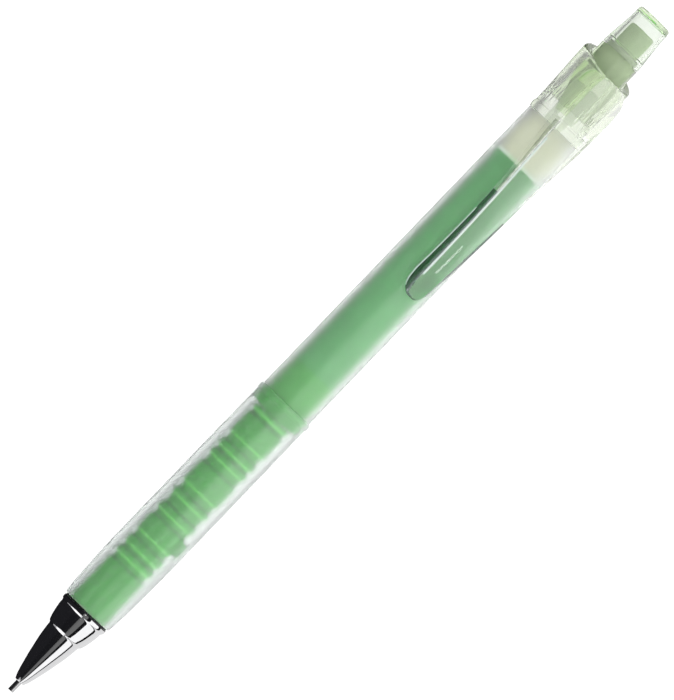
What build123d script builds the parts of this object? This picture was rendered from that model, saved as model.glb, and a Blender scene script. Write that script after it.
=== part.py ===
from build123d import *
import math
import os

# ---------------------------------------------------------------- driving dimensions (mm)
# x runs from the mouth of the guide pipe (0) to the closed end of the eraser cap; r is from the pencil's axis
length = 143.0
clip_below = 20.5            # degrees: how far below level the clip points when the pencil lies on a table
lead_r = 0.28                # a 0.5 mm lead really measures 0.56
knock_travel = 3.5           # push of the eraser cap
ring_travel = 0.7            # the clutch ring follows the jaws this far
tip_off = 6.0                # the tip cone's travel off its spigot
cap_off = 20.0
eraser_off = 10.0
clip_open = 4.0              # degrees

pipe_r, pipe_seat_r, pipe_bore_r = 0.50, 0.57, 0.30
cone_x0, cone_x1 = 1.97, 16.95
spigot_r, spigot_x0 = 2.90, 12.6
core_r, core_bore_r = 3.25, 2.45
core_x0, core_x1, core_tail = 17.0, 61.2, 67.5
groove_r = 2.92
grip_x0, grip_x1, grip_r = 17.0, 61.2, 4.98
grip_in_r = 3.75
barrel_x0, barrel_x1, barrel_r, barrel_bore_r = 61.3, 120.1, 4.75, 3.95
liner_x0, liner_x1, liner_r, liner_bore_r = 68.0, 111.95, 3.60, 3.25
bush_x0, bush_x1, bush_r = 112.5, 119.9, 3.62
spigot_tail_x0, spigot_tail_r, spigot_tail_bore = 106.0, 3.93, 3.66
collar_x1, collar_bore_r = 133.1, 3.68
tube_x0, tube_x1, tube_r, tube_bore_r = 33.0, 128.0, 2.00, 1.55
holder_x0, holder_seam, holder_x1, holder_r = 123.6, 135.05, 136.2, 3.60
eraser_r, eraser_x0, eraser_x1 = 2.30, 131.0, 140.35
spring_x0, spring_x1, spring_r, wire_r = 20.15, 31.9, 1.68, 0.16

os.makedirs("parts", exist_ok=True)


# ---------------------------------------------------------------- helpers
def turned(*pts):
    """Solid turned about the X axis from a closed outline of (x, r) points."""
    return revolve(make_face(Polyline(*[(x, r) for x, r in pts], close=True)), axis=Axis.X, revolution_arc=360)


def turned_smooth(outer, *rest):
    """The same, with a smooth curve through the outer points and straight lines round the rest."""
    run = Spline(*[(x, r) for x, r in outer])
    line = Polyline(*([outer[-1]] + list(rest) + [outer[0]]))
    return revolve(make_face([run, line]), axis=Axis.X, revolution_arc=360)


def rod(x0, x1, r, y=0.0, z=0.0):
    return Pos(x0, y, z) * Rot(0, 90, 0) * Cylinder(r, x1 - x0, align=(Align.CENTER, Align.CENTER, Align.MIN))


nodes = {}

# ---------------------------------------------------------------- tip
# Plated cone: slim curved nose, a rounded step, then a swelling body that ends in a rolled flange.
nose = [(cone_x0, 0.80), (2.40, 1.04), (2.84, 1.21), (3.76, 1.48), (4.68, 1.71), (5.60, 1.94), (6.50, 2.15), (7.45, 2.34), (8.40, 2.54), (9.30, 2.71),
        (10.20, 2.84), (11.10, 2.95), (11.90, 3.02)]
swell = [(12.35, 3.38), (13.0, 3.60), (13.9, 3.80), (14.8, 3.95), (15.7, 4.05)]
cone_face = make_face([
    Spline(*nose),
    ThreePointArc((11.90, 3.02), (12.03, 3.26), (12.35, 3.38)),
    Spline(*swell),
    Line((15.7, 4.05), (15.95, 4.09)),
    ThreePointArc((15.95, 4.09), (16.42, 4.30), (16.88, 4.12)),
    Polyline((16.88, 4.12), (16.95, 4.00), (16.95, 2.95), (12.45, 2.95), (12.45, 2.15), (9.60, 2.15), (9.60, 1.62), (5.60, 1.62), (5.30, 0.86), (3.20, 0.86),
             (3.20, pipe_seat_r), (cone_x0, pipe_seat_r), (cone_x0, 0.80)),
])
nodes["tip_cone"] = revolve(cone_face, axis=Axis.X, revolution_arc=360)
# guide pipe, with a head that seats against the step inside the cone
nodes["lead_sleeve"] = turned((0.05, pipe_r), (cone_x0 - 0.02, pipe_r), (cone_x0, pipe_seat_r), (3.20, pipe_seat_r), (3.20, 0.86), (3.55, 0.86), (3.55, pipe_bore_r), (0.0, pipe_bore_r), (0.0, pipe_r - 0.05))
# rubber brake that keeps the lead from falling out of the pipe
nodes["lead_retainer"] = turned((3.60, 0.86), (5.20, 0.86), (5.20, 0.62), (4.90, 0.30), (3.60, 0.30))

# ---------------------------------------------------------------- lead and clutch
nodes["lead"] = rod(0.2, 60.2, lead_r)

# collet: jaws with a taper behind them, a long neck, and three saw cuts
jaw = turned((9.30, 1.25), (9.50, 1.45), (10.20, 1.45), (12.20, 1.05), (12.60, 0.95), (26.00, 0.95), (26.00, 0.30), (9.30, 0.30))
for k in range(3):
    cut = Pos(9.0, 0, 0) * Rot(120 * k + 30, 0, 0) * Box(9.0, 0.24, 2.0, align=(Align.MIN, Align.CENTER, Align.MIN))
    jaw -= cut
nodes["chuck"] = jaw
nodes["chuck_ring"] = turned((10.40, 1.45), (12.40, 1.05), (12.40, 1.85), (12.20, 2.05), (10.60, 2.05), (10.40, 1.85))
nodes["chuck_sleeve"] = turned((12.60, 1.03), (20.00, 1.03), (20.00, 2.30), (13.40, 2.30), (13.40, 2.10), (12.60, 2.10))

# compression spring round the neck of the collet
turns = 10
pitch = (spring_x1 - spring_x0 - 2 * wire_r) / turns
helix = Rot(0, 90, 0) * Helix(pitch=pitch, height=pitch * turns, radius=spring_r)
helix = Pos(spring_x0 + wire_r, 0, 0) * helix
start = helix @ 0
nodes["return_spring"] = sweep(Plane(origin=start, z_dir=helix % 0) * Circle(wire_r), path=helix)

nodes["connector"] = turned((24.00, 0.95), (26.00, 0.95), (26.00, 0.40), (34.00, 0.40), (36.00, 1.25), (36.00, 1.55), (33.00, 1.55), (33.00, 1.95),
                            (32.00, 1.95), (32.00, 1.38), (24.30, 1.38), (24.00, 1.20))
nodes["lead_tube"] = turned((tube_x0, tube_bore_r), (tube_x1, tube_bore_r), (tube_x1, tube_r), (tube_x0, tube_r))
nodes["spare_leads"] = Compound(children=[
    Solid(rod(37.0, 97.0, lead_r, 0.95 * math.cos(a), 0.95 * math.sin(a)).solid().wrapped) for a in (math.radians(-95), math.radians(-30), math.radians(200))])

# ---------------------------------------------------------------- core, grip and barrel
grooves = [(25.7, 27.3), (28.0, 29.3), (30.3, 32.0), (34.9, 36.5), (37.4, 39.7), (40.3, 42.2), (46.0, 48.0), (48.7, 49.9), (50.7, 52.6), (56.4, 57.6)]
outline = [(spigot_x0, spigot_r), (16.6, spigot_r), (16.6, 2.6), (core_x0, 2.6), (core_x0, grip_in_r), (19.2, grip_in_r), (19.5, core_r)]
for a, b in grooves:
    outline += [(a, core_r), (a + 0.25, groove_r), (b - 0.25, groove_r), (b, core_r)]
outline += [(58.3, core_r), (58.6, 4.50), (core_x1, 4.50), (core_x1, barrel_bore_r - 0.02), (core_tail, barrel_bore_r - 0.02), (core_tail, core_bore_r),
            (20.0, core_bore_r), (20.0, 2.30), (spigot_x0, 2.30)]
core = turned(*outline)
# two locating lugs stand up under the sleeve between the first two groups of grooves
lug = Box(2.7, 3.0, 2.2, align=(Align.CENTER, Align.CENTER, Align.MIN))
lug = fillet(lug.edges().filter_by(Axis.Z), 0.6)
lugs = Pos(33.55, 0, 2.6) * lug & rod(30, 37, 4.30)
lug_turn = 158.0
core += Rot(lug_turn, 0, 0) * lugs
nodes["grip_core"] = core

grip_outer = [(grip_x0, 4.36), (17.35, 4.50), (18.5, 4.61), (20.3, 4.72), (22.2, 4.81), (24.4, 4.89), (26.6, 4.95), (28.5, grip_r)]
grip_face = make_face([
    Spline(*grip_outer),
    Line((28.5, grip_r), (50.5, grip_r)),
    Spline((50.5, grip_r), (53.5, 4.95), (57.0, 4.93), (59.95, 4.92)),
    ThreePointArc((59.95, 4.92), (60.62, 5.08), (grip_x1, 4.85)),
    Polyline((grip_x1, 4.85), (grip_x1, 4.52), (58.5, 4.52), (58.1, grip_in_r), (grip_x0, grip_in_r), (grip_x0, 4.36)),
])
grip = revolve(grip_face, axis=Axis.X, revolution_arc=360)
pocket = Box(3.1, 3.4, 2.2, align=(Align.CENTER, Align.CENTER, Align.MIN))
grip -= Rot(lug_turn, 0, 0) * (Pos(33.55, 0, 2.9) * pocket & rod(30, 37, 4.42))
nodes["grip"] = grip

nodes["outer_barrel"] = turned((barrel_x0, barrel_bore_r), (barrel_x1, barrel_bore_r), (barrel_x1, 4.68), (120.0, barrel_r), (61.45, barrel_r), (barrel_x0, 4.62))
nodes["barrel_liner"] = turned((liner_x0, liner_bore_r), (liner_x1, liner_bore_r), (liner_x1, 3.50), (111.8, liner_r), (liner_x0, liner_r))
nodes["tail_bush"] = turned((bush_x0, 2.08), (bush_x1, 2.08), (bush_x1, bush_r), (118.7, bush_r), (118.7, 3.40), (118.1, 3.40), (118.1, bush_r), (113.6, bush_r),
                            (113.6, 3.35), (113.0, 3.35), (113.0, bush_r), (bush_x0, bush_r))

# ---------------------------------------------------------------- clear tail collar
collar_face = make_face([
    Polyline((spigot_tail_x0, spigot_tail_bore), (spigot_tail_x0, spigot_tail_r), (barrel_x1, spigot_tail_r), (barrel_x1 + 0.02, 4.78)),
    ThreePointArc((120.12, 4.78), (120.80, 4.95), (121.55, 4.78)),
    Spline((121.55, 4.78), (124.0, 4.84), (127.5, 4.97), (130.5, 5.11), (131.9, 5.15)),
    ThreePointArc((131.9, 5.15), (132.75, 4.85), (collar_x1, 4.20)),
    Polyline((collar_x1, 4.20), (collar_x1 - 0.25, collar_bore_r), (120.0, collar_bore_r), (120.0, spigot_tail_bore), (spigot_tail_x0, spigot_tail_bore)),
])
collar = revolve(collar_face, axis=Axis.X, revolution_arc=360)
boss = Pos(127.5, 0, 4.6) * Cylinder(0.95, 1.3, align=(Align.CENTER, Align.CENTER, Align.MIN))
# the clip is drawn with its outside facing +Z and turned to its place below
clip_turn = 90.0 + clip_below
collar += Rot(clip_turn, 0, 0) * boss
# the rear rim is cut on a slant, shortest under the clip
slant = Pos(131.35, 0, 5.15) * Rot(0, 10.0, 0) * Box(12, 30, 30, align=(Align.MIN, Align.CENTER, Align.CENTER))
collar -= Rot(clip_turn, 0, 0) * slant
nodes["tail_collar"] = collar


# ---------------------------------------------------------------- clear clip
def collar_out(x):
    pts = [(120.1, 4.80), (121.55, 4.80), (124.0, 4.84), (127.5, 4.97), (130.5, 5.11), (132.0, 5.15)]
    for (a, ra), (b, rb) in zip(pts, pts[1:]):
        if a <= x <= b:
            return ra + (rb - ra) * (x - a) / (b - a)
    return 4.80


# arm sections: x, half width, underside, outside, corner radius
arm_sections = [
    (86.00, 0.55, 5.25, 5.85, 0.25), (86.12, 0.88, 5.10, 6.06, 0.40), (86.40, 1.18, 5.00, 6.26, 0.50), (86.90, 1.46, 4.91, 6.38, 0.55), (87.60, 1.60, 4.87, 6.44, 0.55),
    (88.60, 1.65, 4.94, 6.48, 0.55), (89.60, 1.68, 5.14, 6.52, 0.50), (90.60, 1.70, 5.38, 6.56, 0.45), (92.50, 1.75, 5.52, 6.64, 0.45), (97.50, 1.90, 5.72, 6.87, 0.45),
    (103.0, 2.15, 5.94, 7.12, 0.45), (108.0, 2.40, 6.12, 7.33, 0.45), (114.0, 2.72, 6.28, 7.56, 0.45), (119.0, 2.92, 6.38, 7.70, 0.50), (123.0, 3.03, 6.42, 7.78, 0.55),
    (127.0, 3.08, 6.42, 7.74, 0.55), (129.4, 3.05, 6.30, 7.52, 0.55), (130.4, 2.90, 6.00, 7.18, 0.55), (130.95, 2.60, 5.70, 6.76, 0.50), (131.2, 2.30, 5.40, 6.35, 0.40),
]
root_sections = [(122.5, 2.90, 3.9, 7.0, 0.30), (123.2, 2.96, 3.9, 7.2, 0.30), (129.2, 2.98, 3.9, 7.2, 0.30), (130.5, 2.80, 3.9, 6.8, 0.30), (131.1, 2.40, 3.9, 6.2, 0.30)]


def section(x, h, low, high, rad):
    plane = Plane(origin=(x, 0, (low + high) / 2), x_dir=(0, 1, 0), z_dir=(1, 0, 0))
    return (plane * RectangleRounded(2 * h, high - low, rad)).face()


arm = loft([section(*s) for s in arm_sections], ruled=True) + loft([section(*s) for s in root_sections], ruled=True)

# saddle: a thin shell that hugs the collar and widens towards its rear end
gap = 0.06
xs = [121.8, 124.0, 127.5, 130.5, 131.2]
inner = [(x, collar_out(x) + gap) for x in xs]
outer = [(x, collar_out(x) + gap + t) for x, t in zip(xs, (0.12, 0.18, 0.22, 0.22, 0.14))]
shell = turned(*(inner + outer[::-1]))
fan_half = [(121.8, 3.30), (125.2, 4.10), (127.8, 4.65), (129.65, 5.02), (131.2, 5.12)]
fan = make_face([
    Spline(*fan_half),
    Line((131.2, 5.12), (131.2, -5.12)),
    Spline(*[(x, -y) for x, y in reversed(fan_half)]),
    Line((121.8, -3.30), (121.8, 3.30)),
])
shell = shell & (Pos(0, 0, 1.3) * extrude(fan, amount=12.0))
clip = arm + shell
# clear of the collar underneath, and of its boss
core_clear = turned((119.0, 0.0), (119.0, 4.86), (121.55, 4.86), (124.0, 4.90), (127.5, 5.03), (130.5, 5.17), (132.5, 5.22), (132.5, 0.0))
clip -= core_clear
clip -= Pos(127.5, 0, 4.0) * Cylinder(1.12, 2.2, align=(Align.CENTER, Align.CENTER, Align.MIN))
nodes["clip"] = Rot(clip_turn, 0, 0) * clip

# ---------------------------------------------------------------- push button: holder, eraser, cap
nodes["eraser_holder"] = turned((holder_x0, 2.00), (130.9, 2.00), (130.9, 2.33), (holder_x1 - 0.2, 2.33), (holder_x1, 2.50), (holder_x1, 2.80), (holder_x1 - 0.1, 2.90),
                                (holder_seam, 2.90), (holder_seam, 3.50), (holder_seam - 0.1, holder_r), (holder_x0 + 0.3, holder_r), (holder_x0, 3.30))
eraser_face = make_face([
    Polyline((eraser_x1, 0.0), (eraser_x0, 0.0), (eraser_x0, eraser_r), (eraser_x1 - 0.55, eraser_r)),
    ThreePointArc((eraser_x1 - 0.55, eraser_r), (eraser_x1 - 0.16, eraser_r - 0.16), (eraser_x1, eraser_r - 0.55)),
    Line((eraser_x1, eraser_r - 0.55), (eraser_x1, 0.0)),
])
nodes["eraser"] = revolve(eraser_face, axis=Axis.X, revolution_arc=360)
cap_face = make_face([
    Polyline((142.30, 0.0), (length, 0.0), (length, 2.30)),
    ThreePointArc((length, 2.30), (142.80, 2.86), (142.25, 3.06)),
    Spline((142.25, 3.06), (140.6, 3.12), (139.0, 3.26), (137.0, 3.47), (135.25, 3.60)),
    Polyline((135.25, 3.60), (135.15, 3.52), (135.15, 2.97), (136.4, 2.97), (136.65, 2.66), (141.9, 2.60)),
    ThreePointArc((141.9, 2.60), (142.18, 2.48), (142.30, 2.20)),
    Line((142.30, 2.20), (142.30, 0.0)),
])
nodes["eraser_cap"] = revolve(cap_face, axis=Axis.X, revolution_arc=360)

# ---------------------------------------------------------------- place in the row frame and write
boxes = [s.bounding_box(optimal=True) for s in nodes.values()]
lo = [min(getattr(b.min, c) for b in boxes) for c in "XYZ"]
hi = [max(getattr(b.max, c) for b in boxes) for c in "XYZ"]
print("clip low", round(nodes["clip"].bounding_box(optimal=True).min.Z, 4), "collar low", round(nodes["tail_collar"].bounding_box(optimal=True).min.Z, 4))
# the low point is rounded down a hair so that the pencil's lowest line sits on z = 0
shift = (-(lo[0] + hi[0]) / 2, -(lo[1] + hi[1]) / 2, -lo[2])
print("shift", [round(v, 5) for v in shift], "size", [round(h - l, 4) for h, l in zip(hi, lo)])
for name, shape in nodes.items():
    placed = Pos(*shift) * shape
    solids = placed.solids()
    out = solids[0] if len(solids) == 1 else Compound(children=[Solid(s.wrapped) for s in solids])
    out.label = name
    export_step(out, f"parts/{name}.step")
print("nodes", len(nodes))
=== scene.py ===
import bpy, bmesh, math
from mathutils import Vector, Matrix


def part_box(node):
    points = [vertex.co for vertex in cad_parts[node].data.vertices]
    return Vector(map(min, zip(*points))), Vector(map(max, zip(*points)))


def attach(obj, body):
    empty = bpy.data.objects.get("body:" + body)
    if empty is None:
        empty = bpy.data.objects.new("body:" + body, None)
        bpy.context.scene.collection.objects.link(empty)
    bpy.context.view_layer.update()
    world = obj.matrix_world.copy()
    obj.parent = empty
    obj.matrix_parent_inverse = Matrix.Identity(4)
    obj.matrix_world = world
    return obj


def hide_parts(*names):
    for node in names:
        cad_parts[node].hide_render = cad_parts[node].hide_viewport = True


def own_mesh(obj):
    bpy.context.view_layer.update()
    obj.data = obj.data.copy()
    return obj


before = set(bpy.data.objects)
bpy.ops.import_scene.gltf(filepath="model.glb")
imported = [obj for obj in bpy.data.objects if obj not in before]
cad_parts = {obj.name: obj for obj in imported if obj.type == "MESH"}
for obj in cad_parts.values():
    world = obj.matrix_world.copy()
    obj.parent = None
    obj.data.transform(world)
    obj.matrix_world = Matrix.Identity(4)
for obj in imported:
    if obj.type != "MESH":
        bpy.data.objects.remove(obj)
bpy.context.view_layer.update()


# ------------------------------------------------------------------ the pencil's own axes
# Profiles are written in mm: x from the mouth of the guide pipe towards the cap, r from the pencil's axis.
lo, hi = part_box("lead_sleeve")
X0 = float(lo[0])
lo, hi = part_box("outer_barrel")
AY, AZ = float(lo[1] + hi[1]) / 2, float(lo[2] + hi[2]) / 2
BETA = math.radians(20.5)
U = (-math.cos(BETA), -math.sin(BETA))     # from the axis towards the clip, in (y, z)
V = (math.sin(BETA), -math.cos(BETA))      # across the clip, downwards


def place(x, w, v):
    """mm along the axis, towards the clip and across it -> metres in the row frame"""
    return Vector((X0 + x / 1000, AY + (w * U[0] + v * V[0]) / 1000, AZ + (w * U[1] + v * V[1]) / 1000))


# ------------------------------------------------------------------ mesh helpers
def curve(pts, n=8):
    """A smooth run through (x, r) points, n steps to a span."""
    out = []
    p = [pts[0]] + list(pts) + [pts[-1]]
    for i in range(1, len(p) - 2):
        a, b, c, d = p[i - 1], p[i], p[i + 1], p[i + 2]
        for k in range(n):
            t = k / n
            out.append(tuple(0.5 * (2 * b[j] + (c[j] - a[j]) * t + (2 * a[j] - 5 * b[j] + 4 * c[j] - d[j]) * t * t + (3 * b[j] - a[j] - 3 * c[j] + d[j]) * t ** 3) for j in range(len(b))))
    out.append(tuple(pts[-1]))
    return out


def soften(pts, n=5):
    """Closed outline of (x, r) or (x, r, radius) points, with its corners rounded by that radius."""
    out = []
    m = len(pts)
    for i in range(m):
        p = pts[i]
        rad = p[2] if len(p) > 2 else 0.0
        q = Vector((p[0], p[1]))
        if rad <= 0:
            out.append((p[0], p[1]))
            continue
        a = Vector(pts[i - 1][:2]) - q
        b = Vector(pts[(i + 1) % m][:2]) - q
        la, lb = a.length, b.length
        a.normalize(); b.normalize()
        ang = a.angle(b)
        if ang > math.pi - 0.02:
            out.append((p[0], p[1]))
            continue
        cut = min(rad / math.tan(ang / 2), la * 0.48, lb * 0.48)
        rr = cut * math.tan(ang / 2)
        centre = q + (a + b).normalized() * (rr / math.sin(ang / 2))
        s, e = q + a * cut - centre, q + b * cut - centre
        turn = s.angle_signed(e)
        for k in range(n + 1):
            v = s.copy()
            v.rotate(Matrix.Rotation(-turn * k / n, 2))
            out.append((centre.x + v.x, centre.y + v.y))
    return out


def finish_mesh(name, bm, body, sharp=38.0, nodes=(), mat=None):
    bmesh.ops.remove_doubles(bm, verts=bm.verts, dist=1e-8)
    bmesh.ops.recalc_face_normals(bm, faces=bm.faces)
    me = bpy.data.meshes.new(name)
    bm.to_mesh(me)
    bm.free()
    o = bpy.data.objects.new(name, me)
    bpy.context.scene.collection.objects.link(o)
    for p in me.polygons:
        p.use_smooth = True
    me.set_sharp_from_angle(angle=math.radians(sharp))
    if mat:
        me.materials.append(mat)
    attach(o, body)
    if nodes:
        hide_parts(*nodes)
    return o


def lathe_bm(outline, seg=192, mod=None, close=True):
    bm = bmesh.new()
    rings = []
    for i, (x, r) in enumerate(outline):
        if r < 1e-5:
            rings.append([bm.verts.new(place(x, 0, 0))])
            continue
        ring = []
        for k in range(seg):
            a = 2 * math.pi * k / seg
            xx, rr = mod(x, r, a, i) if mod else (x, r)
            ring.append(bm.verts.new(place(xx, rr * math.cos(a), rr * math.sin(a))))
        rings.append(ring)
    n = len(rings)
    for i in range(n if close else n - 1):
        p, q = rings[i], rings[(i + 1) % n]
        if len(p) == 1 and len(q) == 1:
            continue
        for k in range(seg):
            k2 = (k + 1) % seg
            if len(p) == 1:
                bm.faces.new((p[0], q[k], q[k2]))
            elif len(q) == 1:
                bm.faces.new((p[k], q[0], p[k2]))
            else:
                bm.faces.new((p[k], q[k], q[k2], p[k2]))
    return bm


def lathe(name, outline, body, mat, nodes=(), seg=192, mod=None, sharp=38.0):
    return finish_mesh(name, lathe_bm(outline, seg, mod), body, sharp, nodes, mat)


# ------------------------------------------------------------------ materials
def srgb(r, g, b):
    def f(c):
        c /= 255
        return c / 12.92 if c <= 0.04045 else ((c + 0.055) / 1.055) ** 2.4
    return (f(r), f(g), f(b), 1.0)


class Mat:
    """A node material: colour mottling, roughness variation and bump, all in the row frame's coordinates."""

    def __init__(self, name):
        self.m = bpy.data.materials.new(name)
        self.m.use_nodes = True
        self.t = self.m.node_tree
        self.b = self.t.nodes["Principled BSDF"]
        self.out = self.t.nodes["Material Output"]
        self.tc = self.t.nodes.new("ShaderNodeTexCoord")

    def node(self, kind, **kw):
        n = self.t.nodes.new(kind)
        for k, v in kw.items():
            if k.startswith("_"):
                setattr(n, k[1:], v)
            else:
                n.inputs[k.replace("__", " ")].default_value = v
        return n

    def link(self, a, b):
        self.t.links.new(a, b)

    def mapped(self, scale):
        mp = self.node("ShaderNodeMapping")
        mp.inputs["Scale"].default_value = scale
        self.link(self.tc.outputs["Object"], mp.inputs["Vector"])
        return mp.outputs["Vector"]

    def noise(self, scale, detail=4.0, rough=0.55, stretch=(1, 1, 1)):
        n = self.node("ShaderNodeTexNoise")
        n.inputs["Scale"].default_value = scale
        n.inputs["Detail"].default_value = detail
        n.inputs["Roughness"].default_value = rough
        self.link(self.mapped(stretch), n.inputs["Vector"])
        return n.outputs["Fac"]

    def ramp(self, fac, stops, interp="LINEAR"):
        r = self.node("ShaderNodeValToRGB")
        r.color_ramp.interpolation = interp
        els = r.color_ramp.elements
        while len(els) < len(stops):
            els.new(0.5)
        for e, (p, c) in zip(els, stops):
            e.position = p
            e.color = c if len(c) == 4 else (*c, 1.0)
        self.link(fac, r.inputs["Fac"])
        return r.outputs["Color"]

    def range(self, fac, a, b, lo=0.3, hi=0.7):
        r = self.node("ShaderNodeMapRange")
        r.inputs["From Min"].default_value = lo
        r.inputs["From Max"].default_value = hi
        r.inputs["To Min"].default_value = a
        r.inputs["To Max"].default_value = b
        self.link(fac, r.inputs["Value"])
        return r.outputs["Result"]

    def bump(self, height, strength=0.1, distance=0.00002, normal=None):
        n = self.node("ShaderNodeBump")
        n.inputs["Strength"].default_value = strength
        n.inputs["Distance"].default_value = distance
        self.link(height, n.inputs["Height"])
        if normal is not None:
            self.link(normal, n.inputs["Normal"])
        return n.outputs["Normal"]

    def add(self, a, b, wa=1.0, wb=1.0):
        m1 = self.node("ShaderNodeMath", _operation="MULTIPLY")
        m1.inputs[1].default_value = wb
        self.link(b, m1.inputs[0])
        m2 = self.node("ShaderNodeMath", _operation="MULTIPLY_ADD")
        m2.inputs[1].default_value = wa
        self.link(a, m2.inputs[0])
        self.link(m1.outputs[0], m2.inputs[2])
        return m2.outputs[0]

    def radius(self):
        """distance from the pencil's axis, in metres"""
        sep = self.node("ShaderNodeSeparateXYZ")
        self.link(self.tc.outputs["Object"], sep.inputs[0])
        parts = []
        for sock, mid in (("Y", AY), ("Z", AZ)):
            d = self.node("ShaderNodeMath", _operation="SUBTRACT")
            d.inputs[1].default_value = mid
            self.link(sep.outputs[sock], d.inputs[0])
            q = self.node("ShaderNodeMath", _operation="POWER")
            q.inputs[1].default_value = 2.0
            a = self.node("ShaderNodeMath", _operation="ABSOLUTE")
            self.link(d.outputs[0], a.inputs[0])
            self.link(a.outputs[0], q.inputs[0])
            parts.append(q.outputs[0])
        t = self.node("ShaderNodeMath", _operation="ADD")
        self.link(parts[0], t.inputs[0])
        self.link(parts[1], t.inputs[1])
        r = self.node("ShaderNodeMath", _operation="SQRT")
        self.link(t.outputs[0], r.inputs[0])
        return r.outputs[0]

    def mix(self, fac, a, b):
        m = self.node("ShaderNodeMix", _data_type="RGBA", _blend_type="MULTIPLY")
        self.link(fac, m.inputs[0])
        self.link(a, m.inputs[6])
        m.inputs[7].default_value = b
        return m.outputs[2]

    def set(self, **kw):
        for k, v in kw.items():
            self.b.inputs[k.replace("__", " ")].default_value = v
        return self

    def colour(self, sock):
        self.link(sock, self.b.inputs["Base Color"])

    def rough(self, sock):
        self.link(sock, self.b.inputs["Roughness"])

    def normal(self, sock):
        self.link(sock, self.b.inputs["Normal"])


def shade(c, k):
    return (c[0] * k, c[1] * k, c[2] * k, 1.0)


def metal(name, base, r0, r1, lines=0.0, line_scale=9000.0, mottling=0.06):
    m = Mat(name)
    m.set(Metallic=1.0)
    n = m.noise(900, 5)
    m.colour(m.ramp(n, [(0.3, shade(base, 1 - mottling)), (0.7, shade(base, 1.0))]))
    fine = m.noise(2600, 3, 0.6, (1.0, 0.25, 0.25))
    m.rough(m.range(fine, r0, r1))
    h = m.noise(5200, 4, 0.6)
    if lines:
        w = m.noise(line_scale, 2, 0.5, (1.0, 0.02, 0.02))
        h = m.add(h, w, 0.25, 1.0)
    m.normal(m.bump(h, lines or 0.04, 0.00001))
    return m.m


def plastic(name, a, b, r0, r1, scale=420, ior=1.49, bump=0.06, sss=0.0, coat=0.0, spec=0.5, groove_shade=None, glow=0.0):
    m = Mat(name)
    m.set(IOR=ior)
    if coat:
        m.set(Coat__Weight=coat, Coat__Roughness=0.12)
    if sss:
        m.set(Subsurface__Weight=sss, Subsurface__Scale=0.0012)
        m.b.inputs["Subsurface Radius"].default_value = (1.0, 1.0, 0.6)
    m.b.inputs["Specular IOR Level"].default_value = spec
    n = m.noise(scale, 5)
    col = m.ramp(n, [(0.28, a), (0.72, b)])
    # painted shade: the colour is multiplied darker towards the axis between r_in and r_out, so the groove floors read
    # darker
    if groove_shade:
        r_in, r_out, tint = groove_shade
        col = m.mix(m.range(m.radius(), 1.0, 0.0, r_in / 1000, r_out / 1000), col, tint)
    m.colour(col)
    if glow:                            # painted glow: emission of the part's own colour stands in for light carried through the thick pale plastic
        m.link(col, m.b.inputs["Emission Color"])
        m.set(Emission__Strength=glow)
    m.rough(m.range(m.noise(1900, 4), r0, r1))
    m.normal(m.bump(m.noise(3800, 4, 0.6), bump, 0.00002))
    return m.m


def clear(name, tint, rough0, rough1, ior=1.49, absorb=None, density=0.0, transmission=1.0, bump=0.03, scale=700, bump_scale=2600, variation=0.04, spec=0.5, coat=None):
    m = Mat(name)
    m.set(IOR=ior, Transmission__Weight=transmission)
    m.b.inputs["Specular IOR Level"].default_value = spec
    if coat:
        m.set(Coat__Weight=coat[0], Coat__IOR=coat[1], Coat__Roughness=coat[2])
    m.colour(m.ramp(m.noise(scale, 4), [(0.3, shade(tint, 1 - variation)), (0.7, tint)]))
    m.rough(m.range(m.noise(bump_scale * 0.7, 4), rough0, rough1))
    m.normal(m.bump(m.noise(bump_scale, 4, 0.6), bump, 0.00002))
    if density:
        v = m.t.nodes.new("ShaderNodeVolumeAbsorption")
        v.inputs["Color"].default_value = absorb
        v.inputs["Density"].default_value = density
        m.link(v.outputs["Volume"], m.out.inputs["Volume"])
    return m.m


CHROME = metal("chrome_plate", (0.86, 0.86, 0.87), 0.035, 0.075, lines=0.05)
# painted shadow: a dark metal for the cone's rear ring, standing in for the shaded gap before the grip
SHADOW = metal("painted_gap_shadow", (0.05, 0.05, 0.055), 0.3, 0.45, lines=0.2)
STEEL = metal("polished_pipe", (0.70, 0.70, 0.71), 0.12, 0.2, lines=0.2)
BRASS = metal("turned_brass", (0.72, 0.52, 0.22), 0.2, 0.32, lines=0.3, line_scale=5200)
WIRE = metal("spring_wire", (0.56, 0.56, 0.57), 0.2, 0.34, lines=0.2)
# the core's groove floors are darkened by radius: painted shade
CORE = plastic("green_core", srgb(40, 186, 40), srgb(54, 200, 50), 0.3, 0.42, bump=0.05, spec=0.3, groove_shade=(3.2, 3.42, (0.88, 0.93, 0.86, 1)))
# lit and shaded copies of the core green: a painted shadow for the front wall of each groove, a painted highlight with
# glow for its rear wall
CORE_SHADE = plastic("green_core_painted_shade", srgb(22, 146, 36), srgb(28, 154, 42), 0.35, 0.45, bump=0.05, spec=0.2)
CORE_LIT = plastic("green_core_painted_highlight", srgb(98, 226, 80), srgb(110, 234, 90), 0.3, 0.4, bump=0.05, spec=0.3, glow=0.10)
LINER = plastic("green_liner", srgb(60, 184, 84), srgb(74, 198, 96), 0.3, 0.42, bump=0.05, spec=0.3)
# painted glow: the cream bush and the eraser emit a little of their own colour
CREAM = plastic("cream_plastic", srgb(250, 250, 222), srgb(253, 253, 232), 0.28, 0.36, bump=0.04, spec=0.3, glow=0.27)
ERASER = plastic("eraser_vinyl", srgb(172, 194, 152), srgb(190, 210, 168), 0.62, 0.8, scale=260, bump=0.35, spec=0.3, glow=0.11)
GREY = plastic("grey_plastic", srgb(150, 154, 150), srgb(168, 172, 168), 0.35, 0.45)
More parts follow.
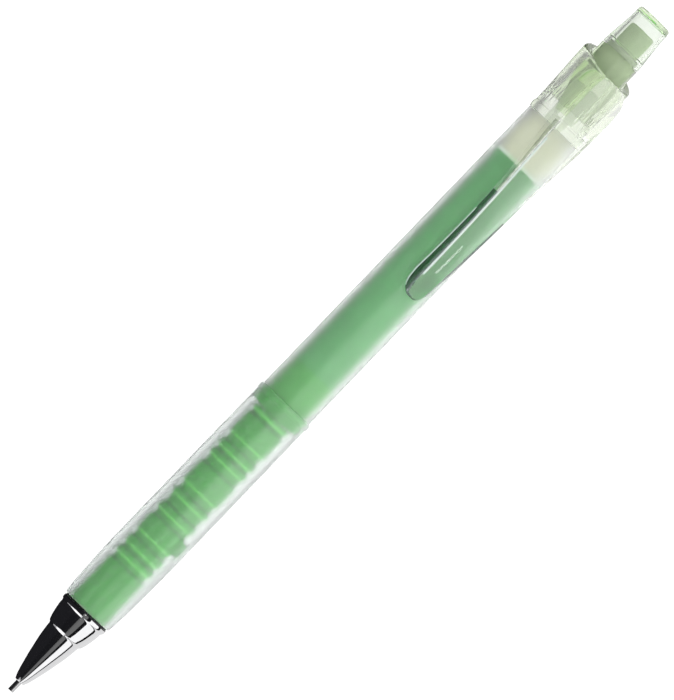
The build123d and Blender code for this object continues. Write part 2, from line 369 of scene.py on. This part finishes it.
# painted glow: the lead tube emits a little of its own colour
TUBE = plastic("tube_plastic", srgb(230, 238, 226), srgb(240, 246, 236), 0.3, 0.4, glow=0.32)
BLACK = plastic("brake_rubber", srgb(26, 26, 27), srgb(38, 38, 40), 0.6, 0.75, bump=0.2)
GRAPH = plastic("graphite", srgb(40, 41, 44), srgb(62, 63, 66), 0.34, 0.5, scale=2600, bump=0.2)
GRIP = clear("frosted_grip", (0.955, 0.992, 0.978, 1), 0.40, 0.46, ior=1.16, transmission=0.945, bump=0.015, variation=0.012, coat=(1.0, 1.8, 0.3))
FROST = clear("frosted_barrel", (0.965, 0.990, 0.972, 1), 0.50, 0.57, ior=1.17, transmission=0.92, bump=0.03, variation=0.012, coat=(0.8, 1.6, 0.22))
CLEAR = clear("clear_plastic", (0.995, 1.0, 0.99, 1), 0.004, 0.012, ior=1.38, absorb=(0.68, 0.95, 0.36, 1), density=60.0, transmission=0.90, bump=0.002, variation=0.005, spec=0.5)

# painted shade: a dark grey-blue see-through finish for the clip's side walls and front face, with a paler painted
# copy for the rear of the upper wall
CLIP_WALL_SHADE = clear("clip_wall_painted_shade", (0.09, 0.115, 0.12, 1), 0.05, 0.09, ior=1.38, transmission=0.95, bump=0.008, variation=0.08)
CLIP_WALL_LIT = clear("clip_wall_painted_light", (0.86, 0.93, 0.80, 1), 0.08, 0.15, ior=1.38, transmission=0.72, bump=0.01, scale=1100, variation=0.62)
CLIP = clear("clear_clip", (0.998, 1.0, 0.995, 1), 0.004, 0.012, ior=1.38, absorb=(0.70, 0.95, 0.42, 1), density=26.0, transmission=0.985, bump=0.002, variation=0.005)
# painted highlight: an opaque white glowing strip for the clip's rounded upper edge and front lip
GLEAM = plastic("clip_corner_painted_highlight", srgb(206, 220, 214), srgb(226, 236, 230), 0.25, 0.35, bump=0.03, spec=0.5, glow=0.22)
# painted edge glow: a greener, hazier finish for the rear end faces of the collar and cap
RIM = clear("clear_rim_painted_edge_glow", (0.80, 0.94, 0.66, 1), 0.12, 0.2, ior=1.30, transmission=0.72, bump=0.02, variation=0.03)
WING = clear("clear_wing", (0.97, 0.995, 0.90, 1), 0.02, 0.05, ior=1.38, absorb=(0.72, 0.95, 0.45, 1), density=30.0, transmission=0.90, bump=0.004, variation=0.03)
CAP = clear("clear_cap", (0.985, 1.0, 0.98, 1), 0.01, 0.02, ior=1.22, absorb=(0.60, 0.93, 0.36, 1), density=80.0, transmission=0.90, bump=0.003, variation=0.01)

# ------------------------------------------------------------------ tip
nose = curve([(1.97, 0.84), (2.40, 1.04), (2.84, 1.21), (3.76, 1.48), (4.68, 1.71), (5.60, 1.94), (6.50, 2.15), (7.45, 2.34), (8.40, 2.54), (9.30, 2.71), (10.20, 2.84), (11.10, 2.95), (11.62, 2.99)], 4)
step = [(11.70, 3.00), (11.80, 3.03), (11.89, 3.08), (11.97, 3.15), (12.05, 3.23), (12.13, 3.30), (12.22, 3.35), (12.31, 3.385)]
swell = curve([(12.40, 3.41), (13.0, 3.60), (13.9, 3.80), (14.8, 3.95), (15.25, 4.005)], 5)
flange = [(15.36, 4.01), (15.46, 4.00), (15.56, 4.00), (15.66, 4.01), (15.75, 4.04), (15.83, 4.09)] + [(16.34 - 0.44 * math.cos(a), 4.10 + 0.20 * math.sin(a)) for a in [math.pi * k / 12 for k in range(1, 11)]] + [(16.72, 4.20), (16.78, 4.12), (16.95, 4.10)]
cone = [(1.97, 0.58), (1.95, 0.62), (1.95, 0.80)] + nose + step + swell + flange + [(16.95, 2.97), (12.45, 2.97), (12.45, 2.2), (9.6, 2.2), (9.6, 1.66), (5.6, 1.66), (5.3, 0.9), (3.2, 0.9), (3.2, 0.58)]
shell = lathe("tip_cone_shell", cone, "tip", CHROME, ("tip_cone",), seg=224, sharp=50)
shell.data.materials.append(SHADOW)
# the faces behind the flange get the painted gap shadow
for poly in shell.data.polygons:
    if poly.center.x > X0 + 0.01652 and poly.material_index == 0:
        poly.material_index = 1
lathe("guide_pipe", soften([(0.0, 0.31, 0.02), (0.0, 0.50, 0.05), (1.97, 0.50), (1.97, 0.56), (3.2, 0.56), (3.2, 0.85), (3.55, 0.85), (3.55, 0.31)]), "tip", STEEL, ("lead_sleeve",), seg=96)

# ------------------------------------------------------------------ core under the grip
grooves = [(25.7, 27.3), (28.0, 29.3), (30.3, 32.0), (34.9, 36.5), (37.4, 39.7), (40.3, 42.2), (46.0, 48.0), (48.7, 49.9), (50.7, 52.6), (56.4, 57.6)]
line = [(12.65, 2.32), (12.65, 2.87), (16.5, 2.87), (16.6, 2.62), (17.02, 2.62), (17.02, 3.50, 0.08), (19.2, 3.52, 0.1), (19.4, 3.48, 0.1)]
for a, b in grooves:
    line += [(a, 3.48, 0.05), (a + 0.42, 3.18, 0.06), (b - 0.42, 3.18, 0.06), (b, 3.48, 0.05)]
line += [(58.2, 3.48, 0.2), (58.55, 4.46, 0.12), (61.2, 4.46, 0.08), (61.2, 3.92), (67.4, 3.92, 0.1), (67.4, 2.47), (20.0, 2.47), (20.0, 2.32)]
raw = soften(line)
dense = []
for i, p in enumerate(raw):
    q = raw[(i + 1) % len(raw)]
    n = max(1, int(abs(q[0] - p[0]) / 0.28)) if min(p[1], q[1]) > 3.3 and 32.0 < (p[0] + q[0]) / 2 < 35.0 else 1
    dense += [(p[0] + (q[0] - p[0]) * k / n, p[1] + (q[1] - p[1]) * k / n) for k in range(n)]
LUG = math.radians(47.5)


def lug(x, r, a, i):
    if r < 3.3 or not 31.9 < x < 35.2:
        return x, r
    d = (a - LUG + math.pi) % (2 * math.pi) - math.pi
    across = 1 - min(1.0, max(0.0, (abs(d) - 0.30) / 0.09))
    along = 1 - min(1.0, max(0.0, (abs(x - 33.55) - 1.20) / 0.22))
    k = across * along
    k = k * k * (3 - 2 * k)
    return x, r + (4.38 - r) * k


core_obj = lathe("core", dense, "barrel", CORE, ("grip_core",), seg=256, mod=lug, sharp=60)
core_obj.data.materials.append(CORE_SHADE)
core_obj.data.materials.append(CORE_LIT)
# groove walls: front walls get the painted shadow material, rear walls the painted highlight
painted_groove_walls = [(a - 0.02, a + 0.42, 1) for a, b in grooves] + [(b - 0.42, b + 0.02, 2) for a, b in grooves]
for poly in core_obj.data.polygons:
    cx = (poly.center.x - X0) * 1000
    cr = math.hypot(poly.center.y - AY, poly.center.z - AZ) * 1000
    if 3.1 < cr < 3.47:
        for a, b, k in painted_groove_walls:
            if a <= cx <= b:
                poly.material_index = k

# ------------------------------------------------------------------ grip
outer = curve([(17.0, 4.34), (17.12, 4.43), (17.35, 4.50), (18.5, 4.61), (20.3, 4.72), (22.2, 4.81), (24.4, 4.89), (26.6, 4.95), (28.5, 4.975), (33, 4.98), (42, 4.975), (50.5, 4.965), (53.5, 4.95), (57.0, 4.93), (59.8, 4.915)], 5)
lip = [(59.95, 4.92), (60.03, 4.96), (60.14, 5.01), (60.3, 5.05), (60.55, 5.075), (60.8, 5.06), (61.0, 5.0), (61.12, 4.9), (61.18, 4.78)]
inner = [(61.18, 4.53), (58.4, 4.53), (58.25, 4.4), (58.1, 3.8)] + [(58.0 - 0.5 * k, 3.76) for k in range(82)] + [(17.0, 3.76)]


def pocket(x, r, a, i):
    if r > 3.9 or not 31.5 < x < 35.6:
        return x, r
    d = (a - LUG + math.pi) % (2 * math.pi) - math.pi
    across = 1 - min(1.0, max(0.0, (abs(d) - 0.46) / 0.1))
    along = 1 - min(1.0, max(0.0, (abs(x - 33.55) - 1.5) / 0.35))
    return x, r + (4.46 - r) * min(across, along)


lathe("grip_sleeve", outer + lip + inner, "barrel", GRIP, ("grip",), seg=224, mod=pocket, sharp=60)

# ------------------------------------------------------------------ barrel, liner, bush
tubes = soften([(61.20, 3.96), (61.20, 4.70, 0.06), (61.34, 4.745), (90.0, 4.735), (119.9, 4.74), (120.08, 4.68, 0.06), (120.08, 3.96)])
lathe("barrel_tube", tubes, "barrel", FROST, ("outer_barrel",), seg=224, sharp=60)
lathe("inner_tube", soften([(67.42, 3.26), (67.42, 3.86, 0.04), (106.0, 3.87), (111.93, 3.87, 0.06), (111.93, 3.26)]), "barrel", LINER, ("barrel_liner",), seg=192)
bush = soften([(112.52, 2.1), (112.52, 3.58, 0.05), (112.95, 3.6, 0.05), (113.02, 3.36, 0.04), (113.6, 3.36, 0.04), (113.66, 3.6, 0.06), (118.05, 3.6, 0.06), (118.12, 3.42, 0.04), (118.68, 3.42, 0.04),
               (118.74, 3.6, 0.06), (119.88, 3.58, 0.08), (119.88, 2.1)])
lathe("guide_bush", bush, "barrel", CREAM, ("tail_bush",), seg=192)

# ------------------------------------------------------------------ clear tail collar
RIBS = 28
bead = [(120.14, 4.76)] + [(120.82 - 0.70 * math.cos(a), 4.74 + 0.205 * math.sin(a)) for a in [math.pi * k / 14 for k in range(1, 14)]] + [(121.56, 4.775)]
body = curve([(121.7, 4.775), (124.0, 4.84), (127.5, 4.97), (130.5, 5.105), (132.45, 5.15)], 6)
rim = [(132.45 + 0.6 * math.sin(a), 4.60 + 0.55 * math.cos(a)) for a in [math.pi / 2 * k / 10 for k in range(1, 10)]] + [(133.08, 4.1), (133.0, 3.85), (132.85, 3.74), (132.6, 3.70)]
bore = [(127.9, 3.70), (126.6, 3.74), (125.4, 3.82), (125.1, 3.85), (124.2, 3.86), (123.1, 3.86), (122.5, 3.79), (121.9, 3.72), (120.0, 3.69), (120.0, 3.595), (112.6, 3.595), (112.6, 3.95), (120.1, 3.95), (120.12, 4.6)]


def collar_mod(x, r, a, i):
    d = (a + math.pi) % (2 * math.pi) - math.pi
    if x > 129.0:                       # the rear rim is cut on a slant, shortest under the clip
        x = x + (-0.48 - 1.43 * math.cos(d + math.radians(1.2))) * (x - 129.0) / 4.08
    if 122.7 < x < 125.2 and r > 3.8 and r < 3.9:
        r = r - 0.08 * (0.5 + 0.5 * math.cos(RIBS * a)) ** 2
    return x, r


collar_obj = lathe("collar", bead + body + rim + bore, "barrel", CLEAR, ("tail_collar",), seg=336, mod=collar_mod, sharp=50)
collar_obj.data.materials.append(RIM)
# the collar's rear end faces get the painted edge glow
for poly in collar_obj.data.polygons:
    if poly.normal.x > 0.45 and poly.center.x > X0 + 0.130:
        poly.material_index = 1

# ------------------------------------------------------------------ clear clip
secs = [(86.00, 0.34, 5.30, 5.76), (86.08, 0.66, 5.14, 5.98), (86.30, 0.98, 5.02, 6.17), (86.70, 1.26, 4.94, 6.32), (87.30, 1.46, 4.88, 6.42), (88.60, 1.62, 4.94, 6.48), (89.60, 1.68, 5.14, 6.53),
        (90.60, 1.70, 5.36, 6.57), (92.50, 1.75, 5.52, 6.65), (97.50, 1.90, 5.72, 6.88), (103.0, 2.15, 5.94, 7.12), (108.0, 2.40, 6.12, 7.34), (114.0, 2.80, 6.28, 7.58), (119.0, 3.08, 6.38, 7.74),
        (121.6, 3.20, 6.41, 7.79), (122.3, 3.22, 6.25, 7.80), (122.7, 3.23, 5.60, 7.80), (122.95, 3.24, 4.60, 7.80), (123.3, 3.25, 4.2, 7.80), (123.7, 3.25, 4.2, 7.80), (124.4, 3.25, 4.2, 7.80), (125.5, 3.26, 4.2, 7.79), (127.0, 3.26, 4.2, 7.76), (128.8, 3.14, 4.2, 7.59),
        (129.8, 2.90, 4.2, 7.30), (130.4, 2.68, 4.2, 6.98), (130.8, 2.44, 4.2, 6.62), (131.05, 2.18, 4.2, 6.25), (131.2, 1.9, 4.2, 5.9)]


skirts = [(86.0, 5.25, 0.42), (86.1, 5.12, 0.78), (86.3, 4.98, 1.18), (86.7, 4.82, 1.62), (87.3, 4.68, 2.00), (88.2, 4.58, 2.32), (90.0, 4.52, 2.46), (93.0, 4.95, 2.52), (96.8, 5.34, 2.60), (101.0, 5.60, 2.68), (105.0, 5.74, 2.76),
          (110.0, 5.66, 2.92), (113.7, 5.28, 3.12), (116.7, 4.62, 3.26), (119.0, 4.20, 3.38), (121.6, 4.02, 3.46), (123.0, 3.95, 3.50), (124.5, 4.1, 3.40), (132.0, 4.2, 3.2)]


def skirt(x, h, a):
    """The rim that hangs from each side of the arm towards the barrel: where its lower edge runs."""
    for (x0, w0, v0), (x1, w1, v1) in zip(skirts, skirts[1:]):
        if x0 <= x <= x1:
            t = (x - x0) / (x1 - x0)
            w, v = w0 + (w1 - w0) * t, v0 + (v1 - v0) * t
            if x > 128.0:
                v = min(v, h + 0.05)
            return w, max(v, h + 0.03) if x < 128.0 else v
    return a, h


def arm_bm():
    bm = bmesh.new()
    rows = curve(secs, 5)
    rings = []
    for x, h, a, b in rows:
        rad = min(0.50, 0.46 * (b - a), 0.6 * h)
        crown = min(0.12 * h, 0.25 * (b - a))
        ws, vs = skirt(x, h, a)
        top = b - crown
        pts = []
        for k in range(9):                                   # rounded edge on the +v side
            ang = math.radians(90 - 78 * k / 8)
            pts.append((top - rad + rad * math.cos(ang) , h - rad + rad * math.sin(ang)))
        v0 = pts[-1][1]
        w0 = pts[-1][0]
        for k in range(1, 12):                               # slightly domed outer face
            v = v0 * (1 - 2 * k / 12)
            pts.append((w0 + crown * (1 - (v / v0) ** 2), v))
        for k in range(8, -1, -1):
            ang = math.radians(90 - 78 * k / 8)
            pts.append((top - rad + rad * math.cos(ang), -(h - rad + rad * math.sin(ang))))
        f = min(1.0, vs / 2.3)
        lip_in = [(ws + 0.16 * f, vs), (ws + 0.04 * f, vs - 0.05 * f), (ws, vs - 0.14 * f), (ws + 0.02 * f, vs - 0.24 * f), (ws + 0.12 * f, vs - 0.32 * f)]
        inner_w = max(a, ws + 0.18 * f)
        foot_in = [(inner_w - 0.02 * f, vs - 0.60 * f), (inner_w, vs - 0.72 * f)]
        edge = (ws + 0.16 * f + 0.14 * (top - rad - ws - 0.16 * f), vs + 0.14 * (h - vs))     # fine line just inside the rim
        mid = (top - rad + 0.5 * (ws + 0.16 * f - top + rad), h + 0.5 * (vs - h))
        pts += [(mid[0], -mid[1]), (edge[0], -edge[1])] + [(w, -v) for w, v in lip_in + foot_in]
        pts += [(inner_w, (vs - 0.72 * f) * k / 3) for k in (-2, -1, 0, 1, 2)]
        pts += [(w, v) for w, v in reversed(lip_in + foot_in)] + [edge, mid]
        rings.append([bm.verts.new(place(x, w, v)) for w, v in pts])
    m = len(rings[0])
    for p, q in zip(rings, rings[1:]):
        for k in range(m):
            bm.faces.new((p[k], p[(k + 1) % m], q[(k + 1) % m], q[k]))
    bm.faces.new(rings[0])
    bm.faces.new(rings[-1][::-1])
    bmesh.ops.recalc_face_normals(bm, faces=bm.faces)
    return bm


def collar_r(x):
    pts = [(119.0, 4.80), (121.55, 4.80), (124.0, 4.84), (127.5, 4.97), (130.5, 5.11), (132.0, 5.15), (134.0, 5.15)]
    for (a, ra), (b, rb) in zip(pts, pts[1:]):
        if a <= x <= b:
            return ra + (rb - ra) * (x - a) / (b - a)
    return pts[0][1]


fan = [(121.8, 44.5), (122.6, 46.5), (124.4, 52.6), (126.0, 58.5), (127.5, 65.0), (129.6, 73.6), (130.5, 77.0), (130.9, 78.0)]


def arm_top(x):
    for (x0, h0, a0, b0), (x1, h1, a1, b1) in zip(secs, secs[1:]):
        if x0 <= x <= x1:
            t = (x - x0) / (x1 - x0)
            return h0 + (h1 - h0) * t, b0 + (b1 - b0) * t
    return secs[-1][1], secs[-1][3]


def saddle_bm():
    """The hump: a wing each side, falling in a shallow hollow from the arm's edge to the collar and fanning out to the rear."""
    bm = bmesh.new()
    rings = []
    for x, half in curve(fan, 5):
        h, top = arm_top(x)
        a1 = math.radians(half)
        r1 = collar_r(x)
        ew, ev = (r1 + 0.10) * math.cos(a1), (r1 + 0.10) * math.sin(a1)       # foot of the wing on the collar
        sw, sv = max(top - 0.75, r1 + 0.1), h - 0.05                            # its top, just under the arm's edge
        side = []
        for k in range(15):
            t = k / 14
            w, v = sw + (ew - sw) * t, sv + (ev - sv) * t
            rr = math.hypot(w, v)
            floor = r1 + 0.09
            sag = 0.16 * math.sin(math.pi * t) * min(1.0, (x - 121.8) / 4)
            rr2 = max(floor, rr - sag)
            side.append((w * rr2 / rr, v * rr2 / rr))
        side.append(((r1 - 0.2) * math.cos(a1), (r1 - 0.2) * math.sin(a1)))
        ring = [(w, v) for w, v in side]
        lower = [((r1 - 0.3) * math.cos(a1 - 2 * a1 * k / 12), (r1 - 0.3) * math.sin(a1 - 2 * a1 * k / 12)) for k in range(1, 12)]
        ring = ring + lower + [(w, -v) for w, v in reversed(side)]
        rings.append([bm.verts.new(place(x, w, v)) for w, v in ring])
    m = len(rings[0])
    for p, q in zip(rings, rings[1:]):
        for k in range(m):
            bm.faces.new((p[k], p[(k + 1) % m], q[(k + 1) % m], q[k]))
    bm.faces.new(rings[0])
    bm.faces.new(rings[-1][::-1])
    bmesh.ops.recalc_face_normals(bm, faces=bm.faces)
    return bm


def loose(name, bm):
    me = bpy.data.meshes.new(name)
    bmesh.ops.recalc_face_normals(bm, faces=bm.faces)
    bm.to_mesh(me)
    bm.free()
    o = bpy.data.objects.new(name, me)
    bpy.context.scene.collection.objects.link(o)
    return o


def boolean(target, tool, op):
    m = target.modifiers.new("b", "BOOLEAN")
    m.operation = op
    m.solver = "EXACT"
    m.object = tool
    bpy.context.view_layer.update()
    dg = bpy.context.evaluated_depsgraph_get()
    me = bpy.data.meshes.new_from_object(target.evaluated_get(dg))
    target.modifiers.remove(m)
    target.data = me
    bpy.data.objects.remove(tool)


arm = loose("clip_arm_src", arm_bm())
boolean(arm, loose("clip_saddle_src", saddle_bm()), "UNION")
under = [(119.0, 0.0), (119.0, 4.86)] + [(x, collar_r(x) + 0.055) for x in (121.6, 122.5, 124.0, 125.5, 127.5, 129.0, 130.5, 132.0)] + [(134.0, 5.2), (134.0, 0.0)]
boolean(arm, loose("clip_under_src", lathe_bm(under, 240)), "DIFFERENCE")
# shallow ring on the outside of the root
ring_bm = bmesh.new()
for k in range(64):
    pass
rows = [(0.80, 0.0), (0.80, 0.30), (1.02, 0.30), (1.02, 0.0)]
rings = []
for rr, hh in rows:
    rings.append([ring_bm.verts.new(place(127.4 + rr * math.cos(2 * math.pi * k / 64), 7.60 + hh, rr * math.sin(2 * math.pi * k / 64))) for k in range(64)])
for i in range(4):
    p, q = rings[i], rings[(i + 1) % 4]
    for k in range(64):
        ring_bm.faces.new((p[k], q[k], q[(k + 1) % 64], p[(k + 1) % 64]))
boolean(arm, loose("clip_ring_src", ring_bm), "DIFFERENCE")
bm = bmesh.new()
bm.from_mesh(arm.data)
bpy.data.objects.remove(arm)
clip_obj = finish_mesh("pocket_clip", bm, "clip", 42.0, ("clip",), CLIP)
clip_obj.data.materials.append(CLIP_WALL_SHADE)
clip_obj.data.materials.append(WING)
clip_obj.data.materials.append(GLEAM)
clip_obj.data.materials.append(CLIP_WALL_LIT)
across = Vector((0, V[0], V[1]))
for poly in clip_obj.data.polygons:
    c = poly.center
    cx = (c.x - X0) * 1000
    cy, cz = (c.y - AY) * 1000, (c.z - AZ) * 1000
    cw, cv = cy * U[0] + cz * U[1], cy * V[0] + cz * V[1]
    out = poly.normal.dot(across) * (1 if cv > 0 else -1)
    up = (poly.normal.y * U[0] + poly.normal.z * U[1])
    half = arm_top(max(cx, 86.0))[0]
    rim = skirt(max(cx, 86.0), half, 9.0)[1]
    # the rounded upper edge and, further forward, the upper lip get the painted highlight
    if cv < 0 and 90.0 < cx < 118.5 and half - 0.30 < -cv < half - 0.08 and up > 0.4:
        poly.material_index = 3
    elif cv < 0 and 87.0 < cx < 103.0 and -cv > rim - 0.13 * (rim - half) and up > 0.0 and out > 0.2:
        poly.material_index = 3
    # rear of the clip's upper wall: pale painted light
    elif cv < 0 and 107.4 < cx < 121.4 and half - 0.08 < -cv < half + 0.5 * (rim - half) and out > 0.3:
        poly.material_index = 4
    # side walls near the front and the front end face: dark painted shade
    elif (cx < (107.4 if cv < 0 else 104.0) and abs(cv) > half - 0.08 and out > 0.3) or (poly.normal.x < -0.6 and cx < 87.2):
        poly.material_index = 1
    elif 122.4 < cx < 131.0 and abs(cv) > arm_top(cx)[0] - 0.15 and math.hypot(cw, cv) > collar_r(cx) + 0.07:
        poly.material_index = 2

# ------------------------------------------------------------------ push button
holder = soften([(123.6, 2.03), (123.6, 3.56, 0.15), (135.03, 3.58, 0.06), (135.03, 2.92), (136.1, 2.9, 0.08), (136.18, 2.45, 0.06), (136.0, 2.345), (130.92, 2.345), (130.88, 2.03)])
lathe("button_sleeve", holder, "push_button", CLEAR, ("eraser_holder",), seg=192)
rub = [(130.95, 0.0), (130.95, 2.34), (131.1, 2.352), (135.8, 2.352), (135.95, 2.31)] + [(136.2 + 0.4 * k, 2.295) for k in range(9)] + [(139.90 + 0.42 * math.sin(a), 1.87 + 0.42 * math.cos(a)) for a in [math.pi / 2 * k / 8 for k in range(0, 9)]] + [(140.33, 1.4), (140.34, 0.7), (140.34, 0.0)]


def worn(x, r, a, i):
    k = max(0.0, (x - 139.0) / 1.1)
    return x - 0.05 * k * (math.sin(3 * a + 1) + 0.6 * math.sin(7 * a + 2)) * (r / 2.3) * 0.5 - 0.0, r - 0.02 * k * (1 + math.sin(5 * a + r)) * 0.5


lathe("eraser_stick", rub, "eraser", ERASER, ("eraser",), seg=128, mod=worn, sharp=70)
cap_out = curve([(135.28, 3.585), (136.0, 3.55), (137.0, 3.47), (138.0, 3.36), (139.0, 3.26), (140.0, 3.17), (141.0, 3.11), (142.45, 3.06)], 4)
cap_end = [(142.5 + 0.5 * math.sin(a), 2.56 + 0.5 * math.cos(a)) for a in [math.pi / 2 * k / 10 for k in range(1, 11)]]
cap = [(135.15, 3.50), (135.19, 3.56)] + cap_out + cap_end + [(143.0, 1.2), (143.0, 0.0), (142.3, 0.0), (142.3, 1.2), (142.3, 2.2), (142.24, 2.4), (142.1, 2.54), (141.9, 2.60), (136.8, 2.68), (136.55, 2.75), (136.4, 2.97), (135.15, 2.97)]
cap_obj = lathe("button_cap", cap, "eraser_cap", CAP, ("eraser_cap",), seg=192, sharp=50)

cap_obj.data.materials.append(RIM)
# the cap's end face gets the painted edge glow
for poly in cap_obj.data.polygons:
    if poly.center.x > X0 + 0.1424:
        poly.material_index = 1

# ------------------------------------------------------------------ inside pieces keep their CAD shape
kept = {"lead_retainer": BLACK, "lead": GRAPH, "chuck": BRASS, "chuck_ring": BRASS, "chuck_sleeve": BRASS, "connector": GREY, "lead_tube": TUBE, "spare_leads": GRAPH}
for name, m in kept.items():
    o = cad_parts[name]
    o.data.materials.clear()
    o.data.materials.append(m)

# the spring is closed up by the button, so it needs a mesh that can be squashed
bm = bmesh.new()
SX0, SX1, SR, WR, TURNS = 20.31, 31.74, 1.68, 0.16, 10
origin = place(0, 0, 0)
loops = []
for i in range(56 * TURNS + 1):
    th = 2 * math.pi * i / 56
    radial = (place(0, math.cos(th), math.sin(th)) - origin).normalized()
    along = (place((SX1 - SX0) / (2 * math.pi * TURNS), -SR * math.sin(th), SR * math.cos(th)) - origin).normalized()
    third = along.cross(radial).normalized()
    c = place(SX0 + (SX1 - SX0) * i / (56 * TURNS), SR * math.cos(th), SR * math.sin(th))
    loops.append([bm.verts.new(c + (radial * math.cos(2 * math.pi * k / 12) + third * math.sin(2 * math.pi * k / 12)) * WR / 1000) for k in range(12)])
for p, q in zip(loops, loops[1:]):
    for k in range(12):
        bm.faces.new((p[k], p[(k + 1) % 12], q[(k + 1) % 12], q[k]))
bm.faces.new(loops[0])
bm.faces.new(loops[-1][::-1])
coil = finish_mesh("coil_spring", bm, "push_button", 60.0, ("return_spring",), WIRE)
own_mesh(coil)

# ------------------------------------------------------------------ floor, light, camera
EL = math.radians(5.5)
view_dir = Vector((0, -math.cos(EL), math.sin(EL)))
FOOT, LOOK, DIST = 72.46, 72.46, 1.9
foot = place(FOOT, 0, 0)
look = place(LOOK, 0, 0)
foot.z += 0.00008
look.z += 0.00008
eye = foot + view_dir * DIST
cam = bpy.data.objects.new("camera", bpy.data.cameras.new("camera"))
bpy.context.scene.collection.objects.link(cam)
fwd = (look - eye).normalized()
xax = Vector((1, 0, 0))
r0 = (xax - fwd * xax.dot(fwd)).normalized()
u0 = r0.cross(fwd).normalized()
ROLL = math.radians(46.15)
right = r0 * math.cos(ROLL) - u0 * math.sin(ROLL)
up = r0 * math.sin(ROLL) + u0 * math.cos(ROLL)
rot = Matrix((right, up, -fwd)).transposed()
cam.matrix_world = Matrix.Translation(eye) @ rot.to_4x4()
cam.data.sensor_fit = "HORIZONTAL"
cam.data.sensor_width = 36.0
cam.data.lens = 6514.0 * (look - eye).length * 36.0 / 674.0
cam.data.clip_start = 0.01
cam.data.clip_end = 20.0
bpy.context.scene.camera = cam

scene = bpy.context.scene
scene.cycles.max_bounces = 24
scene.cycles.transmission_bounces = 24
scene.cycles.glossy_bounces = 8
scene.cycles.diffuse_bounces = 6
scene.view_settings.view_transform = "Standard"
scene.view_settings.look = "None"

world = bpy.data.worlds.new("studio")
scene.world = world
world.use_nodes = True
wt = world.node_tree
bg = wt.nodes["Background"]
tc = wt.nodes.new("ShaderNodeTexCoord")
sep = wt.nodes.new("ShaderNodeSeparateXYZ")
wt.links.new(tc.outputs["Generated"], sep.inputs[0])
rmp = wt.nodes.new("ShaderNodeValToRGB")
rmp.color_ramp.elements[0].position = 0.13
rmp.color_ramp.elements[0].color = (1.0, 1.0, 1.0, 1)
rmp.color_ramp.elements[1].position = 0.40
rmp.color_ramp.elements[1].color = (0.44, 0.44, 0.45, 1)
wt.links.new(sep.outputs["Z"], rmp.inputs["Fac"])
wt.links.new(rmp.outputs["Color"], bg.inputs["Color"])
bg.inputs["Strength"].default_value = 1.0


def card(name, corners, colour, strength=0.0, glossy_only=False):
    bm = bmesh.new()
    bm.faces.new([bm.verts.new(c) for c in corners])
    me = bpy.data.meshes.new(name)
    bm.to_mesh(me)
    bm.free()
    o = bpy.data.objects.new(name, me)
    scene.collection.objects.link(o)
    m = bpy.data.materials.new(name)
    m.use_nodes = True
    b = m.node_tree.nodes["Principled BSDF"]
    b.inputs["Base Color"].default_value = (*colour, 1)
    b.inputs["Roughness"].default_value = 0.9
    b.inputs["Specular IOR Level"].default_value = 0.0
    if strength:
        b.inputs["Emission Color"].default_value = (1, 1, 1, 1)
        b.inputs["Emission Strength"].default_value = strength
    me.materials.append(m)
    if glossy_only:
        o.visible_camera = False
        o.visible_diffuse = False
        o.visible_transmission = False
        o.visible_shadow = False
        o.visible_volume_scatter = False
    return o


card("floor", [(-3, -3, -0.0001), (3, -3, -0.0001), (3, 3, -0.0001), (-3, 3, -0.0001)], (0.10, 0.10, 0.10), 1.08)
# black flags that only show in reflections: overhead, and low in front
dark = (0.012, 0.012, 0.014)
card("flag_top", [(-1.2, -0.9, 0.9), (1.2, -0.9, 0.9), (1.2, 0.9, 0.9), (-1.2, 0.9, 0.9)], dark, 0.0, True)
card("flag_front", [(-1.2, -0.9, 0.02), (1.2, -0.9, 0.02), (1.2, -0.9, 0.9), (-1.2, -0.9, 0.9)], dark, 0.0, True)
def strip(name, y0, y1, strength, x1=1.2):
    card(name, [(-1.2, y0, 0.0004), (x1, y0, 0.0004), (x1, y1, 0.0004), (-1.2, y1, 0.0004)], (0.0, 0.0, 0.0) if strength else dark, strength, True)


strip("flag_near", -0.9, AY - 0.017, 0.16, X0 + 0.035)
strip("flag_line", AY - 0.017, AY - 0.0095, 0.0, X0 + 0.035)
# painted shadow: a dark strip just under the pencil, seen only in reflections, standing in for its contact shadow on
# the floor
strip("contact_shadow_flag", AY - 0.0034, AY - 0.0025, 0.0, X0 + 0.035)
strip("flag_far", AY - 0.0025, 0.9, 0.84)
card("flag_grey", [(-1.2, -0.85, 0.0004), (1.2, -0.85, 0.0004), (1.2, -0.85, 0.10), (-1.2, -0.85, 0.10)], (0.0, 0.0, 0.0), 0.13, True)
card("glint", [(X0 + 0.0912, AY - 0.0101, 0.0006), (X0 + 0.0970, AY - 0.0101, 0.0006), (X0 + 0.0970, AY - 0.0089, 0.0006), (X0 + 0.0912, AY - 0.0089, 0.0006)], (0.0, 0.0, 0.0), 13.0, True)
card("glow_side", [(-0.7, -0.35, 0.05), (-0.7, 0.2, 0.05), (-0.7, 0.2, 0.4), (-0.7, -0.35, 0.4)], (0.0, 0.0, 0.0), 1.4, True)
card("flag_back", [(-1.2, 0.9, 0.12), (1.2, 0.9, 0.12), (1.2, 0.9, 0.9), (-1.2, 0.9, 0.9)], dark, 0.0, True)

key = bpy.data.objects.new("key", bpy.data.lights.new("key", "AREA"))
key.data.shape = "RECTANGLE"
key.data.size, key.data.size_y = 0.5, 0.3
key.visible_glossy = False
key.data.energy = 0.5
key.location = (-0.25, -0.35, 0.45)
key.rotation_euler = (Vector((0, 0, 0)) - Vector(key.location)).to_track_quat("-Z", "Y").to_euler()
scene.collection.objects.link(key)
